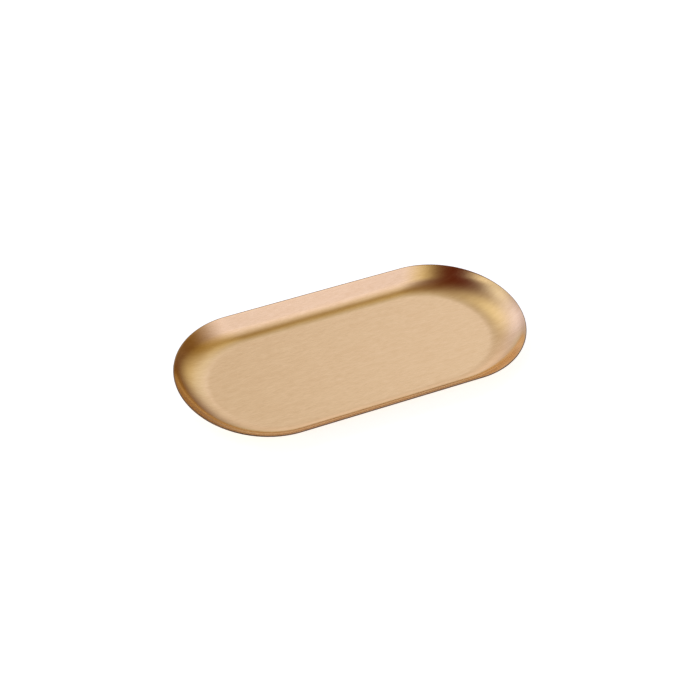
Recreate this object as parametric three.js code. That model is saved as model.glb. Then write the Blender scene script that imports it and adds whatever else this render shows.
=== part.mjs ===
// A long oval metal tray, pressed from one sheet of brushed steel with a warm gold finish.
//
// Seen from above, the rim is two straight sides joined by two half circles. The floor is flat, and its
// outline is two straight sides joined by two half ellipses, because the wall is narrow along the sides and
// wide at the ends. The wall leaves the floor in a bend and then runs straight up to the rim. Along the sides
// the bend leaves a straight band below the rim, and towards the ends it opens until it takes up nearly the
// whole wall. The edge of the sheet is rounded over all the way round, as a deburred edge is.
//
// Millimetres, +Z up. The origin is on the underside of the floor, at its middle, and the tray's length lies
// along X.

import * as THREE from "three";

// Driving dimensions
const trayLength = 240; // over the rim, end to end
const trayWidth = 112; // over the rim, side to side
const trayHeight = 12; // from the table to the top of the rim
const sheetThickness = 0.8;
const sideWallWidth = 17.2; // from the floor's edge to the rim's outermost line, seen from above
const endWallWidth = 24; // the same at the two ends
const floorEndReach = 43; // how far the floor's round ends go on past its straight sides
const sideWallStraight = 9.4; // the straight part of the wall above its bend, measured up its slope
const endWallStraight = 0.5; // the same at the two ends

// How finely the curves are cut into flat faces
const endSteps = 48; // round each half of the outline
const sideSteps = 4; // along each straight side
const bendSteps = 10; // up the bend
const straightSteps = 2; // up the straight part of the wall
const edgeSteps = 4; // over the rounded edge of the sheet

const slopeProbe = 1e-3; // how far apart two points lie where a direction on the surface is measured

// The rim's straight sides run between the centres of its half circles, and the floor's between the centres
// of its half ellipses.
const rimEndRadius = trayWidth / 2;
const rimStraightHalf = trayLength / 2 - rimEndRadius;
const floorHalfWidth = trayWidth / 2 - sideWallWidth;
const floorStraightHalf = trayLength / 2 - endWallWidth - floorEndReach;

// The stations round the outline. Each has the angle that it is at, from -90 to 90 degrees round the
// right-hand end and from 90 to 270 degrees round the left-hand end, and the share of the way from the tray's
// middle to the end of its straight side, where 1 is the right-hand end and -1 the left-hand one.
function outlineStations() {
  const stations = [];
  for (const side of [1, -1]) {
    const firstAngle = side > 0 ? -Math.PI / 2 : Math.PI / 2;
    for (let i = 0; i <= endSteps; i++) {
      stations.push({
        sideShare: side,
        angle: firstAngle + (Math.PI * i) / endSteps,
      });
    }
    for (let i = 1; i < sideSteps; i++) {
      stations.push({
        sideShare: side * (1 - (2 * i) / sideSteps),
        angle: firstAngle + Math.PI,
      });
    }
  }
  return stations;
}

// How far a station has gone from a side, 0, to the tip of an end, 1.
function endShare(angle) {
  return Math.cos(angle) ** 2;
}

function mix(a, b, share) {
  return a + (b - a) * share;
}

// A point of the floor's edge, seen from above.
function floorEdge(sideShare, angle) {
  return new THREE.Vector2(
    sideShare * floorStraightHalf + floorEndReach * Math.cos(angle),
    floorHalfWidth * Math.sin(angle),
  );
}

// The line that the sheet's rounded edge is centred on, seen from above.
function edgeCentre(sideShare, angle) {
  const radius = rimEndRadius - sheetThickness / 2;
  return new THREE.Vector2(
    sideShare * rimStraightHalf + radius * Math.cos(angle),
    radius * Math.sin(angle),
  );
}

// The bend that, with a straight part above it, climbs `rise` over a plan width of `run`. The bend and its two
// tangents, each r tan(slope / 2) long, give
//   r tan(slope / 2) (1 + cos(slope)) + straight cos(slope) = run
//   r tan(slope / 2) sin(slope) + straight sin(slope) = rise
// and so tan(slope / 2) = rise / (run + straight).
function bendBelow(straight, run, rise) {
  const slope = 2 * Math.atan(rise / (run + straight));
  const tangent = rise / Math.sin(slope) - straight;
  return { slope, bendRadius: tangent / Math.tan(slope / 2) };
}

// A point of the wall, half way through the sheet. `climb` goes from 0 at the floor's edge to 1 where the
// bend ends, and on to 2 at the rim.
function wallPoint(sideShare, angle, climb) {
  const foot = floorEdge(sideShare, angle);
  const outwards = edgeCentre(sideShare, angle).sub(foot);
  const straight = mix(sideWallStraight, endWallStraight, endShare(angle));
  const { slope, bendRadius } = bendBelow(
    straight,
    outwards.length(),
    trayHeight - sheetThickness,
  );
  const turned = slope * Math.min(climb, 1);
  const onwards = straight * Math.max(climb - 1, 0);
  const out = bendRadius * Math.sin(turned) + onwards * Math.cos(slope);
  const up = bendRadius * (1 - Math.cos(turned)) + onwards * Math.sin(slope);
  foot.addScaledVector(outwards.normalize(), out);
  return new THREE.Vector3(foot.x, foot.y, sheetThickness / 2 + up);
}

// The wall's normal on the side that faces up into the tray, from short steps along it and up it.
function wallNormal(sideShare, angle, climb) {
  const along = wallPoint(sideShare, angle + slopeProbe, climb).sub(
    wallPoint(sideShare, angle - slopeProbe, climb),
  );
  const lower = Math.max(climb - slopeProbe, 0);
  const up = wallPoint(sideShare, angle, lower + slopeProbe).sub(
    wallPoint(sideShare, angle, lower),
  );
  return up.cross(along).normalize();
}

// The section through the sheet at a station, from the floor's edge up the upper face, over the rounded
// edge, and down the underside to below the floor's edge.
function sheetSection({ sideShare, angle }) {
  const climbs = [];
  for (let i = 0; i <= bendSteps; i++) climbs.push(i / bendSteps);
  for (let i = 1; i <= straightSteps; i++) climbs.push(1 + i / straightSteps);
  const half = sheetThickness / 2;
  const upper = [];
  const under = [];
  for (const climb of climbs) {
    const middle = wallPoint(sideShare, angle, climb);
    const normal = wallNormal(sideShare, angle, climb);
    upper.push(middle.clone().addScaledVector(normal, half));
    under.push(middle.clone().addScaledVector(normal, -half));
  }
  const rim = wallPoint(sideShare, angle, 2);
  const across = upper.at(-1).clone().sub(rim);
  const onwards = rim.clone().sub(wallPoint(sideShare, angle, 1)).setLength(half);
  const edge = [];
  for (let i = 1; i < edgeSteps; i++) {
    const turn = (Math.PI * i) / edgeSteps;
    edge.push(
      rim
        .clone()
        .addScaledVector(across, Math.cos(turn))
        .addScaledVector(onwards, Math.sin(turn)),
    );
  }
  return [...upper, ...edge, ...under.reverse()];
}

// The sheet as one closed skin: the sections are joined to a band round the outline, and its two open edges
// are closed by the floor's upper face and its underside, each a fan about its middle.
function pressedSheet() {
  const sections = outlineStations().map(sheetSection);
  const perSection = sections[0].length;
  const positions = sections.flat().flatMap((point) => point.toArray());
  const triangles = [];
  const floorTop = sections.length * perSection;
  const floorUnder = floorTop + 1;
  positions.push(0, 0, sheetThickness, 0, 0, 0);
  sections.forEach((_, i) => {
    const here = i * perSection;
    const next = ((i + 1) % sections.length) * perSection;
    for (let j = 0; j < perSection - 1; j++) {
      triangles.push(here + j, here + j + 1, next + j + 1);
      triangles.push(here + j, next + j + 1, next + j);
    }
    triangles.push(floorTop, here, next);
    triangles.push(floorUnder, next + perSection - 1, here + perSection - 1);
  });
  const skin = new THREE.BufferGeometry();
  skin.setAttribute("position", new THREE.Float32BufferAttribute(positions, 3));
  skin.setIndex(triangles);
  skin.computeVertexNormals();
  return skin;
}

const brushedGold = new THREE.MeshStandardMaterial({
  color: 0xd6b48c,
  roughness: 0.35,
  metalness: 1.0,
});

const pressedTray = new THREE.Mesh(pressedSheet(), brushedGold);
pressedTray.name = "pressed_tray";

const tray = new THREE.Group();
tray.add(pressedTray);

export default tray;
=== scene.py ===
"""A long oval tray pressed from one sheet of brushed gold metal, standing in a plain pale studio.

The tray's three outer sizes are those of the frame that is loaded here. Its other sizes, its finish and the
studio are properties that the operators below read. Metres, +Z up, with the tray's length along X and its
origin on the underside of the floor, at its middle.
"""

import math

import bpy
import numpy as np
from bpy.props import FloatProperty, FloatVectorProperty, IntProperty, PointerProperty
from bpy.types import Operator, Panel, PropertyGroup
from mathutils import Matrix, Vector


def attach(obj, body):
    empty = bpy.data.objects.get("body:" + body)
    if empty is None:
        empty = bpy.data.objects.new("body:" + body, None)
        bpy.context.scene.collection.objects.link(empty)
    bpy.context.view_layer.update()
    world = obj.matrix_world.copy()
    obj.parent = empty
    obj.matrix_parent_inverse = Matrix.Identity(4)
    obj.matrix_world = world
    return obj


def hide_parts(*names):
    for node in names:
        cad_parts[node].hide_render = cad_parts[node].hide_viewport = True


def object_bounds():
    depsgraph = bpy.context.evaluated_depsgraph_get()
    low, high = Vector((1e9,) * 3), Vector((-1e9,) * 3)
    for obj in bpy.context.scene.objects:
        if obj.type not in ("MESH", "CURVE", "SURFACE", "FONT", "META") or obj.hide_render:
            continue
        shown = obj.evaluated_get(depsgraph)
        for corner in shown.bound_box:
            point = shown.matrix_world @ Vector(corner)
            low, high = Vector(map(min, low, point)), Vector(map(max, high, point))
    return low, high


bl_info = {
    "name": "Long Oval Metal Tray",
    "version": (1, 0, 0),
    "blender": (4, 5, 0),
    "location": "3D View > Sidebar > Tray",
    "description": "Builds a long oval tray pressed from brushed gold metal, and its studio",
    "category": "Add Mesh",
}

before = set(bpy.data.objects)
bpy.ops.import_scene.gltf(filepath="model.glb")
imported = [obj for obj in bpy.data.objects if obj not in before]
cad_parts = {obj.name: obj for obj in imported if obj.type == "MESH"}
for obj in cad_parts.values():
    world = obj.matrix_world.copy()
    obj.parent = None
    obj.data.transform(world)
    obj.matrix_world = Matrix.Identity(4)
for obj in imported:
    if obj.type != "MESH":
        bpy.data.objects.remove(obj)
cad_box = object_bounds()
cad_size = cad_box[1] - cad_box[0]

TRAY_NODE = "pressed_tray"
BLANK_MAP = "flat_blank"
# The name of the mesh attribute that carries the painted shade on the rim's rounded edge.
DULL_EDGE_AND_SHADE = "dull_edge_and_shade"


def millimetres(value):
    return value / 1000


def length_property(name, description, default):
    return FloatProperty(
        name=name, description=description, default=default, unit="LENGTH", precision=5
    )


def angle_property(name, description, degrees):
    return FloatProperty(
        name=name,
        description=description,
        default=math.radians(degrees),
        subtype="ANGLE",
        unit="ROTATION",
    )


def colour_property(name, description, default):
    return FloatVectorProperty(
        name=name, description=description, default=default, subtype="COLOR", min=0, max=1
    )


def share_property(name, description, default):
    return FloatProperty(
        name=name, description=description, default=default, min=0, max=1, subtype="FACTOR"
    )


class TraySizes(PropertyGroup):
    """The tray's sizes, and how finely its surface is cut."""

    length: length_property("Length", "Over the rim, end to end", cad_size.x)
    width: length_property("Width", "Over the rim, side to side", cad_size.y)
    height: length_property("Height", "From the table to the top of the rim", cad_size.z)
    sheet: length_property("Sheet", "Thickness of the metal", millimetres(0.8))
    side_wall: length_property(
        "Side wall", "Floor's edge to rim along the sides, from above", millimetres(17.2)
    )
    end_wall: length_property(
        "End wall", "Floor's edge to rim at the two ends, from above", millimetres(24)
    )
    floor_end_reach: length_property(
        "Floor end reach", "How far the floor's round ends pass its straight sides", millimetres(43)
    )
    side_straight: length_property(
        "Side straight", "The wall above its bend along the sides, up its slope", millimetres(9.4)
    )
    end_straight: length_property(
        "End straight", "The wall above its bend at the two ends, up its slope", millimetres(0.5)
    )
    end_steps: IntProperty(name="End steps", description="Faces round each end", default=240)
    side_steps: IntProperty(name="Side steps", description="Faces along each side", default=60)
    floor_steps: IntProperty(name="Floor steps", description="Rings over the floor", default=12)
    bend_steps: IntProperty(name="Bend steps", description="Faces up the bend", default=24)
    straight_steps: IntProperty(
        name="Straight steps", description="Faces up the wall's straight part", default=8
    )
    edge_steps: IntProperty(
        name="Edge steps", description="Faces over the sheet's rounded edge", default=12
    )


class TrayFinish(PropertyGroup):
    """The brushed gold finish."""

    gold: colour_property("Gold", "The gold coat", (0.80, 0.58, 0.28))
    deep_gold: colour_property("Deep gold", "The gold in the brush lines", (0.72, 0.50, 0.225))
    # Painted shade: this near-black gold darkens the rim's rounded edge where it turns out and under,
    # standing in for the shade along the rim, on top of the cut edge's own duller metal.
    dull_and_shaded_gold: colour_property("Dull and shaded gold", "The darker gold on the cut edge", (0.16, 0.10, 0.06))
    roughness: share_property("Roughness", "How blurred the metal's reflections are", 0.16)
    brush_angle: angle_property("Brush angle", "Between the lines and the tray's length", 1)
    fine_length: length_property("Fine length", "Along the fine brush lines", millimetres(4.4))
    fine_spacing: length_property("Fine spacing", "Across the fine brush lines", millimetres(0.6))
    broad_length: length_property("Broad length", "Along the broad brush lines", millimetres(13.2))
    broad_spacing: length_property("Broad spacing", "Across the broad brush lines", millimetres(3))
    cloud_length: length_property("Cloud length", "Along the clouds in the finish", millimetres(35.2))
    cloud_spacing: length_property("Cloud spacing", "Across the clouds", millimetres(13.2))
    fine_share: share_property("Fine share", "The fine lines' share of the grain", 0.6)
    line_depth: length_property("Line depth", "Depth of the brush lines", millimetres(0.0055))
    broad_blur: share_property("Broad blur", "How much the broad lines vary the roughness", 0.06)
    cloud_blur: share_property("Cloud blur", "How much the clouds vary the roughness", 0.09)
    cloud_tint: share_property("Cloud tint", "How much the clouds vary the gold", 0.15)


class TrayStudio(PropertyGroup):
    """The camera and the floor."""

    azimuth: angle_property("Azimuth", "Where the camera stands round the tray", -32.038)
    elevation: angle_property("Elevation", "The camera's height above the horizon", 42.932)
    roll: angle_property("Roll", "The camera's turn about its own line of sight", 6.985)
    distance: length_property("Distance", "From the camera to the tray's middle", 1.5288)
    aim_right: length_property("Aim right", "Aim right of the tray's middle", millimetres(-0.95))
    aim_up: length_property("Aim up", "Aim above the tray's middle", millimetres(6.53))
    lens: FloatProperty(
        name="Lens", description="Focal length on a 36 mm sensor", default=122.88, unit="CAMERA"
    )
    floor_radius: length_property("Floor radius", "Of the pale round floor", 12.0)
    floor_drop: length_property("Floor drop", "From the tray to the pale floor", millimetres(0.05))
    floor_colour: colour_property("Floor colour", "The pale floor", (0.64, 0.69, 0.72))
    floor_glow: share_property("Floor glow", "What lifts the floor to white for the eye", 0.72)


class Wire:
    """A value in a shader: an output socket, or a number. Arithmetic on it adds Math nodes."""

    def __init__(self, tree, source):
        self.tree = tree
        self.source = source

    def math(self, operation, *others, swapped=False):
        terms = [self, *others]
        if swapped:
            terms.reverse()
        return self.tree.node("Math", {"operation": operation}, dict(enumerate(terms)))

    def __add__(self, other):
        return self.math("ADD", other)

    def __sub__(self, other):
        return self.math("SUBTRACT", other)

    def __mul__(self, other):
        return self.math("MULTIPLY", other)

    def __rsub__(self, other):
        return self.math("SUBTRACT", other, swapped=True)

    def __pow__(self, other):
        return self.math("POWER", other)

    def __rpow__(self, other):
        return self.math("POWER", other, swapped=True)

    __radd__ = __add__
    __rmul__ = __mul__


class ShaderTree:
    """A node tree that is written as expressions on Wires."""

    def __init__(self, owner):
        owner.use_nodes = True
        self.output_kind = "OutputWorld" if isinstance(owner, bpy.types.World) else "OutputMaterial"
        self.nodes = owner.node_tree.nodes
        self.links = owner.node_tree.links
        self.nodes.clear()

    def node(self, kind, settings=None, inputs=None, output=0):
        """Adds a node, sets it, fills its sockets with values or Wires, and returns one output, if any."""
        node = self.nodes.new("ShaderNode" + kind)
        for name, value in (settings or {}).items():
            setattr(node, name, value)
        for key, value in (inputs or {}).items():
            if isinstance(value, Wire):
                self.links.new(value.source, node.inputs[key])
            else:
                node.inputs[key].default_value = value
        return Wire(self, node.outputs[output]) if node.outputs else None

    def mix(self, factor, first, second):
        """A colour between two, by a factor."""
        first_colour, second_colour, mixed_colour = 6, 7, 2
        sockets = {"Factor": factor, first_colour: first, second_colour: second}
        return self.node("Mix", {"data_type": "RGBA"}, sockets, mixed_colour)

    def between(self, value, low, high):
        """0 where a value is below low, 1 above high, and a smooth step between."""
        settings = {"interpolation_type": "SMOOTHSTEP"}
        sockets = {"Value": value, "From Min": low, "From Max": high}
        return self.node("MapRange", settings, sockets)

    def output(self, surface):
        self.node(self.output_kind, None, {"Surface": surface})


def colour(values):
    return (*values, 1.0)


def outline_stations(sizes):
    """The stations round the outline, counter-clockwise: their angles and their side shares.

    Round the right-hand end the angle runs from -90 to 90 degrees at a side share of 1. Along the far side
    the share runs from 1 to -1. Round the left-hand end the angle runs from 90 to 270 degrees at a share
    of -1, and along the near side the share runs back to 1.
    """
    quarter = math.pi / 2
    round_end = np.linspace(-quarter, quarter, sizes.end_steps + 1)
    along = np.linspace(1, -1, sizes.side_steps + 1)[1:-1]
    angle = np.concatenate(
        [
            round_end,
            np.full_like(along, quarter),
            round_end + math.pi,
            np.full_like(along, 3 * quarter),
        ]
    )
    share = np.concatenate(
        [np.ones_like(round_end), along, -np.ones_like(round_end), -along]
    )
    return angle, share


def wall_middle(sizes, angle, share, climb):
    """The wall half way through the sheet, and the same point on the flat blank that it was pressed from.

    The foot is (share * floor's straight half + reach * cos(angle), floor's half width * sin(angle)), and
    the rim is the same with the rim's straight half and its radius. From foot to rim the wall first turns
    up by the slope in a bend, and then runs straight. The bend's two tangents are each r tan(slope / 2)
    long, so tan(slope / 2) = rise / (run + straight) and r tan(slope / 2) = rise / sin(slope) - straight.
    Climb is 0 at the foot, 1 at the end of the bend and 2 at the rim. The blank's point lies as far out
    from the foot as the wall is long.
    """
    rim_radius = sizes.width / 2
    edge_radius = rim_radius - sizes.sheet / 2
    rim_straight = sizes.length / 2 - rim_radius
    floor_straight = sizes.length / 2 - sizes.end_wall - sizes.floor_end_reach
    cosine, sine = np.cos(angle), np.sin(angle)
    foot_x = share * floor_straight + sizes.floor_end_reach * cosine
    foot_y = (rim_radius - sizes.side_wall) * sine
    out_x = share * rim_straight + edge_radius * cosine - foot_x
    out_y = edge_radius * sine - foot_y
    run = np.hypot(out_x, out_y)
    out_x, out_y = out_x / run, out_y / run
    rise = sizes.height - sizes.sheet
    straight = sizes.side_straight + (sizes.end_straight - sizes.side_straight) * cosine**2
    slope = 2 * np.arctan(rise / (run + straight))
    radius = (rise / np.sin(slope) - straight) / np.tan(slope / 2)
    turned = slope * np.minimum(climb, 1)
    onwards = straight * np.maximum(climb - 1, 0)
    out = radius * np.sin(turned) + onwards * np.cos(slope)
    height = sizes.sheet / 2 + radius * (1 - np.cos(turned)) + onwards * np.sin(slope)
    unrolled = radius * turned + onwards
    point = np.stack([foot_x + out_x * out, foot_y + out_y * out, height], -1)
    blank = np.stack([foot_x + out_x * unrolled, foot_y + out_y * unrolled], -1)
    return point, blank


def wall_normal(sizes, angle, share, climb):
    """The unit normal into the tray: a short step up the wall crossed with a short step along it."""
    probe = 1e-3
    ahead, _ = wall_middle(sizes, angle + probe, share, climb)
    behind, _ = wall_middle(sizes, angle - probe, share, climb)
    lower = np.maximum(climb - probe, 0)
    low, _ = wall_middle(sizes, angle, share, lower)
    high, _ = wall_middle(sizes, angle, share, lower + probe)
    normal = np.cross(high - low, ahead - behind)
    return normal / np.linalg.norm(normal, axis=-1, keepdims=True)


def pressed_sheet(sizes):
    """The whole skin of the sheet as one grid of points, with the blank's points and the edge's share of
    painted shade.

    The first parameter is the station round the outline. The second runs from near the floor's middle out
    over the upper face, middle + normal * sheet / 2, then over the edge, a half circle about the middle's
    last point, and back in under the tray, middle - normal * sheet / 2. Over the floor each ring is a share
    of the floor's own outline. The edge's painted shade rises from 0 to 1 between two angles round the half
    circle, darkening the edge where it turns out and under past its top, and is 0 off it.
    """
    angle, share = outline_stations(sizes)
    climbs = np.concatenate(
        [
            np.linspace(0, 1, sizes.bend_steps + 1),
            np.linspace(1, 2, sizes.straight_steps + 1)[1:],
        ]
    )
    angle, share = angle[:, None], share[:, None]
    middle, blank = wall_middle(sizes, angle, share, climbs)
    half = sizes.sheet / 2 * wall_normal(sizes, angle, share, climbs)
    upper, under = middle + half, middle - half

    rings = (np.arange(1, sizes.floor_steps) / sizes.floor_steps)[None, :, None]
    floor_top = upper[:, :1] * rings
    floor_top[..., 2] = sizes.sheet
    floor_under = floor_top * (1, 1, 0)
    floor_blank = blank[:, :1] * rings

    rim, rim_blank = middle[:, -1:], blank[:, -1:]
    tip = rim - middle[:, -2:-1]
    tip *= sizes.sheet / 2 / np.linalg.norm(tip, axis=-1, keepdims=True)
    turn = (np.pi * np.arange(1, sizes.edge_steps) / sizes.edge_steps)[None, :, None]
    edge = rim + half[:, -1:] * np.cos(turn) + tip * np.sin(turn)
    edge_blank = rim_blank + tip[..., :2] * np.minimum(turn, np.pi - turn)

    points = np.concatenate(
        [floor_top, upper, edge, under[:, ::-1], floor_under[:, ::-1]], axis=1
    )
    blanks = np.concatenate(
        [floor_blank, blank, edge_blank, blank[:, ::-1], floor_blank[:, ::-1]], axis=1
    )
    dull_edge_and_shade = np.zeros(points.shape[:2])
    first = floor_top.shape[1] + upper.shape[1]
    # Painted shade: past a small turn over its top the rounded edge is darkened, fully from 40 degrees on,
    # standing in for the shade along the rim.
    bright_turn, shade_turn = np.radians((5, 40))
    past_bright = (turn[..., 0] - bright_turn) / (shade_turn - bright_turn)
    dull_edge_and_shade[:, first : first + edge.shape[1]] = np.clip(past_bright, 0, 1)
    return points, blanks, dull_edge_and_shade


def closed_mesh(name, points, blanks, dull_edge_and_shade, heights):
    """A mesh of the grid, closed round the outline. A point at each height shuts one of its two holes."""
    stations, columns = points.shape[:2]
    grid = np.arange(stations * columns).reshape(stations, columns)
    following = np.roll(grid, -1, axis=0)
    quads = np.stack([grid[:, :-1], grid[:, 1:], following[:, 1:], following[:, :-1]], -1)
    top_pole, under_pole = grid.size, grid.size + 1
    top_fan = np.stack([np.full(stations, top_pole), grid[:, 0], following[:, 0]], -1)
    under_fan = np.stack([np.full(stations, under_pole), following[:, -1], grid[:, -1]], -1)
    corners = np.concatenate([quads.reshape(-1), top_fan.reshape(-1), under_fan.reshape(-1)])
    face_sizes = np.repeat([4, 3], [quads.size // 4, 2 * stations])
    poles = [(0, 0, height) for height in heights]
    places = np.concatenate([points.reshape(-1, 3), poles])
    flat = np.concatenate([blanks.reshape(-1, 2), np.zeros((2, 2))])
    darkening = np.concatenate([dull_edge_and_shade.reshape(-1), (0, 0)])

    mesh = bpy.data.meshes.new(name)
    mesh.vertices.add(len(places))
    mesh.vertices.foreach_set("co", places.reshape(-1).astype(np.float32))
    mesh.loops.add(len(corners))
    mesh.loops.foreach_set("vertex_index", corners.astype(np.int32))
    mesh.polygons.add(len(face_sizes))
    starts = np.concatenate([[0], np.cumsum(face_sizes)[:-1]])
    mesh.polygons.foreach_set("loop_start", starts.astype(np.int32))
    mesh.update(calc_edges=True)
    mesh.shade_smooth()
    uv = mesh.uv_layers.new(name=BLANK_MAP)
    uv.uv.foreach_set("vector", flat[corners].reshape(-1).astype(np.float32))
    # Stores the share of painted shade on the rim's rounded edge for the gold to read; the two poles get
    # none.
    attribute = mesh.attributes.new(DULL_EDGE_AND_SHADE, "FLOAT", "POINT")
    attribute.data.foreach_set("value", darkening.astype(np.float32))
    return mesh


def brushed_gold(finish):
    """Gold metal with fine and broad brush lines along the blank, faint clouds, and painted shade on the
    rim's rounded edge.
    """
    material = bpy.data.materials.new("brushed_gold")
    tree = ShaderTree(material)
    blank = tree.node("UVMap", {"uv_map": BLANK_MAP})

    def brush_lines(length, spacing, detail, seed):
        """Noise drawn out along the brush lines, from 0 to 1."""
        place = tree.node(
            "Mapping",
            {"vector_type": "TEXTURE"},
            {
                "Vector": blank,
                "Location": (0, 0, seed),
                "Rotation": (0, 0, finish.brush_angle),
                "Scale": (length, spacing, 1),
            },
        )
        return tree.node(
            "TexNoise", None, {"Vector": place, "Scale": 1.0, "Detail": detail, "Roughness": 0.6}
        )

    fine = brush_lines(finish.fine_length, finish.fine_spacing, detail=3, seed=11)
    broad = brush_lines(finish.broad_length, finish.broad_spacing, detail=2, seed=23)
    cloud = brush_lines(finish.cloud_length, finish.cloud_spacing, detail=2, seed=37)
    middle = 0.5
    lines = finish.fine_share * fine + (1 - finish.fine_share) * broad
    in_the_lines, between_the_lines = 0.3, 0.7
    tint = tree.between(
        lines + finish.cloud_tint * (cloud - middle), in_the_lines, between_the_lines
    )

    # Painted shade: the edge's share mixes the gold towards near-black brown where the rounded edge turns
    # out and under, over the cut edge's own duller metal.
    edge = tree.node("Attribute", {"attribute_name": DULL_EDGE_AND_SHADE}, None, "Fac")
    gold = tree.mix(tint, colour(finish.deep_gold), colour(finish.gold))
    gold = tree.mix(edge, gold, colour(finish.dull_and_shaded_gold))
    blur = finish.broad_blur * (broad - middle) + finish.cloud_blur * (cloud - middle)
    bump = tree.node(
        "Bump", None, {"Height": lines, "Distance": finish.line_depth, "Strength": 1.0}
    )
    surface = tree.node(
        "BsdfPrincipled",
        None,
        {
            "Base Color": gold,
            "Roughness": finish.roughness + blur,
            "Metallic": 1.0,
            "Normal": bump,
        },
    )
    tree.output(surface)
    return material


class Softbox:
    """A soft glow of the studio: where it is, how wide it is to half its brightness, and its light."""

    def __init__(self, azimuth, elevation, half_width, light):
        azimuth, elevation = math.radians(azimuth), math.radians(elevation)
        flat = math.cos(elevation)
        self.towards = (flat * math.cos(azimuth), flat * math.sin(azimuth), math.sin(elevation))
        self.sharpness = math.log(2) / (1 - math.cos(math.radians(half_width)))
        self.light = light


ROOM_LIGHT = (0.11, 0.01, 0.0)
SOFTBOXES = {
    "left": Softbox(197, 26, 11, (3.7, 3.95, 4.2)),
    "front right": Softbox(302, 40, 16, (0.95, 1.05, 1.8)),
    "back": Softbox(119, 22, 20, (0.95, 1.05, 1.8)),
    "back left": Softbox(159, 36, 15, (0.85, 0.95, 1.1)),
    "back right": Softbox(42, 42, 17, (0.7, 0.8, 1.05)),
    "low back right": Softbox(71, 18, 16, (0.8, 0.8, 1.0)),
    "high back": Softbox(105, 56, 18, (0.85, 0.9, 0.8)),
    "front": Softbox(275, 48, 10, (0.5, 0.5, 0.2)),
    "high front right": Softbox(322, 60, 11, (0.3, 0.35, 0.5)),
    "back horizon": Softbox(95, 6, 10, (0.25, 0.3, 0.25)),
    "right": Softbox(21, 25, 15, (0.45, 0.45, 0.3)),
    "back right horizon": Softbox(60, 6, 9, (0.15, 0.2, 0.1)),
    "right fill": Softbox(337, 51, 22, (0.3, 0.25, 0.0)),
    "overhead": Softbox(20, 60, 10, (0.25, 0.25, 0.15)),
    "back right accent": Softbox(54, 43, 6, (0.12, 0.12, 0.25)),
}


def studio_light():
    """The world: each softbox adds light * e^(sharpness * (cosine of the angle to it - 1))."""
    world = bpy.data.worlds.new("studio_light")
    bpy.context.scene.world = world
    tree = ShaderTree(world)
    direction = tree.node("TexCoord", None, None, "Generated")
    light = ROOM_LIGHT
    for box in SOFTBOXES.values():
        cosine = tree.node(
            "VectorMath", {"operation": "DOT_PRODUCT"}, {0: direction, 1: box.towards}, "Value"
        )
        glow = math.e ** (box.sharpness * (cosine - 1))
        light = tree.node(
            "VectorMath", {"operation": "MULTIPLY_ADD"}, {0: glow, 1: box.light, 2: light}
        )
    tree.output(tree.node("Background", None, {"Color": light, "Strength": 1.0}))


def pale_floor(studio):
    """Matt pale floor. A glow that only the eye, mirrors and glass see lifts it to white.

    From below it is clear, so that the tray's underside can be looked at.
    """
    material = bpy.data.materials.new("pale_floor")
    tree = ShaderTree(material)
    matt = tree.node("BsdfDiffuse", None, {"Color": colour(studio.floor_colour)})
    rays = [
        tree.node("LightPath", None, None, kind)
        for kind in ("Is Camera Ray", "Is Glossy Ray", "Is Transmission Ray")
    ]
    seen = rays[0].math("MAXIMUM", rays[1]).math("MAXIMUM", rays[2])
    glow = tree.node(
        "Emission", None, {"Color": colour((1, 1, 1)), "Strength": seen * studio.floor_glow}
    )
    lit = tree.node("AddShader", None, {0: matt, 1: glow})
    from_below = tree.node("NewGeometry", None, None, "Backfacing")
    clear = tree.node("BsdfTransparent")
    tree.output(tree.node("MixShader", None, {0: from_below, 1: lit, 2: clear}))
    return material


def round_floor(studio):
    """The floor: rings of (radius * cos(angle), radius * sin(angle)) at a height of minus the floor's drop.

    The drop is a hair, so that the tray and the floor don't share a plane.
    """
    spokes = 96
    ring_shares = np.array([[0.01, 0.03, 0.1, 0.3, 1.0]])
    angle = np.linspace(0, 2 * np.pi, spokes, endpoint=False)[:, None]
    radius = studio.floor_radius * ring_shares
    height = np.full_like(angle * radius, -studio.floor_drop)
    points = np.stack([radius * np.cos(angle), radius * np.sin(angle), height], -1)
    stations, columns = points.shape[:2]
    grid = np.arange(stations * columns).reshape(stations, columns)
    following = np.roll(grid, -1, axis=0)
    quads = np.stack([grid[:, :-1], grid[:, 1:], following[:, 1:], following[:, :-1]], -1)
    faces = [*quads.reshape(-1, 4).tolist(), grid[:, 0].tolist()]
    mesh = bpy.data.meshes.new("studio_floor")
    mesh.from_pydata(points.reshape(-1, 3).tolist(), [], faces)
    return mesh


def studio_camera(studio):
    """The camera: back along azimuth and elevation from its aim, then rolled about its line of sight."""
    azimuth, elevation = studio.azimuth, studio.elevation
    back = Vector(
        (
            math.sin(azimuth) * math.cos(elevation),
            -math.cos(azimuth) * math.cos(elevation),
            math.sin(elevation),
        )
    )
    turn = back.to_track_quat("Z", "Y").to_matrix() @ Matrix.Rotation(studio.roll, 3, "Z")
    aim = turn @ Vector((studio.aim_right, studio.aim_up, 0))
    data = bpy.data.cameras.new("studio_camera")
    data.lens = studio.lens
    data.clip_end = 2 * studio.floor_radius
    camera = bpy.data.objects.new("studio_camera", data)
    camera.matrix_world = Matrix.Translation(aim + studio.distance * back) @ turn.to_4x4()
    return camera


def add_to_scene(thing):
    bpy.context.scene.collection.objects.link(thing)
    return thing


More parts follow.
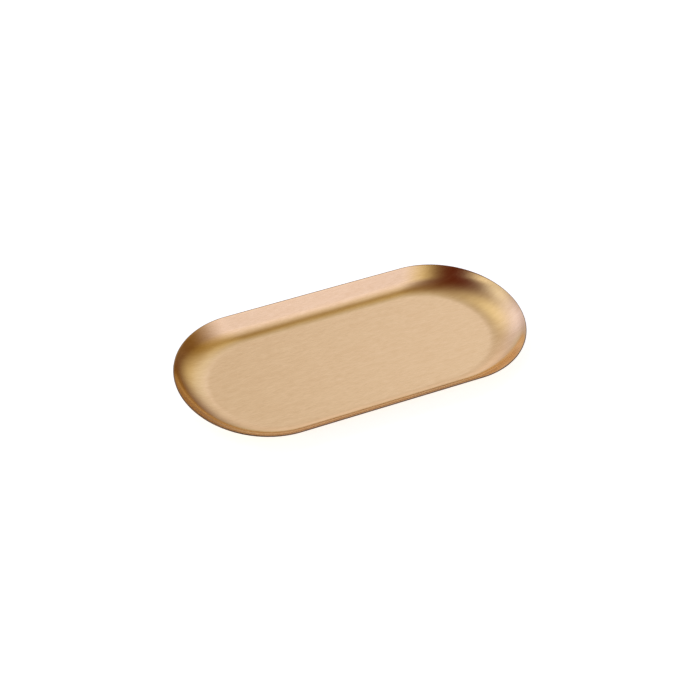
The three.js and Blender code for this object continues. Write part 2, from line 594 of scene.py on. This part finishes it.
class TRAY_OT_pressed_tray(Operator):
    """Build the tray's pressed sheet with its brushed gold finish"""

    bl_idname = "tray.pressed_tray"
    bl_label = "Pressed Tray"
    bl_options = {"REGISTER", "UNDO"}

    def execute(self, context):
        sizes = context.scene.tray_sizes
        points, blanks, dull_edge_and_shade = pressed_sheet(sizes)
        mesh = closed_mesh("tray_sheet", points, blanks, dull_edge_and_shade, (sizes.sheet, 0))
        mesh.materials.append(brushed_gold(context.scene.tray_finish))
        tray = add_to_scene(bpy.data.objects.new("tray_sheet", mesh))
        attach(tray, "root")
        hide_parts(TRAY_NODE)
        return {"FINISHED"}


class TRAY_OT_studio(Operator):
    """Build the pale floor, the studio light and the camera"""

    bl_idname = "tray.studio"
    bl_label = "Studio"
    bl_options = {"REGISTER", "UNDO"}

    def execute(self, context):
        scene = context.scene
        studio = scene.tray_studio
        floor = add_to_scene(bpy.data.objects.new("studio_floor", round_floor(studio)))
        floor.data.materials.append(pale_floor(studio))
        studio_light()
        scene.camera = add_to_scene(studio_camera(studio))
        scene.view_settings.view_transform = "Standard"
        return {"FINISHED"}


class TRAY_PT_panel(Panel):
    """Lists the tray's operators and their properties"""

    bl_label = "Tray"
    bl_idname = "TRAY_PT_panel"
    bl_space_type = "VIEW_3D"
    bl_region_type = "UI"
    bl_category = "Tray"

    def draw(self, context):
        layout = self.layout
        for operator, settings in (
            (TRAY_OT_pressed_tray, (context.scene.tray_sizes, context.scene.tray_finish)),
            (TRAY_OT_studio, (context.scene.tray_studio,)),
        ):
            layout.operator(operator.bl_idname)
            for group in settings:
                column = layout.column()
                for name in group.__annotations__:
                    column.prop(group, name)


PROPERTY_GROUPS = {
    "tray_sizes": TraySizes,
    "tray_finish": TrayFinish,
    "tray_studio": TrayStudio,
}
OPERATORS = (TRAY_OT_pressed_tray, TRAY_OT_studio)


def register():
    for name, group in PROPERTY_GROUPS.items():
        bpy.utils.register_class(group)
        setattr(bpy.types.Scene, name, PointerProperty(type=group))
    for kind in (*OPERATORS, TRAY_PT_panel):
        bpy.utils.register_class(kind)


def unregister():
    for kind in (TRAY_PT_panel, *OPERATORS):
        bpy.utils.unregister_class(kind)
    for name, group in PROPERTY_GROUPS.items():
        delattr(bpy.types.Scene, name)
        bpy.utils.unregister_class(group)


def main():
    register()
    bpy.ops.tray.pressed_tray()
    bpy.ops.tray.studio()


if __name__ == "__main__":
    main()
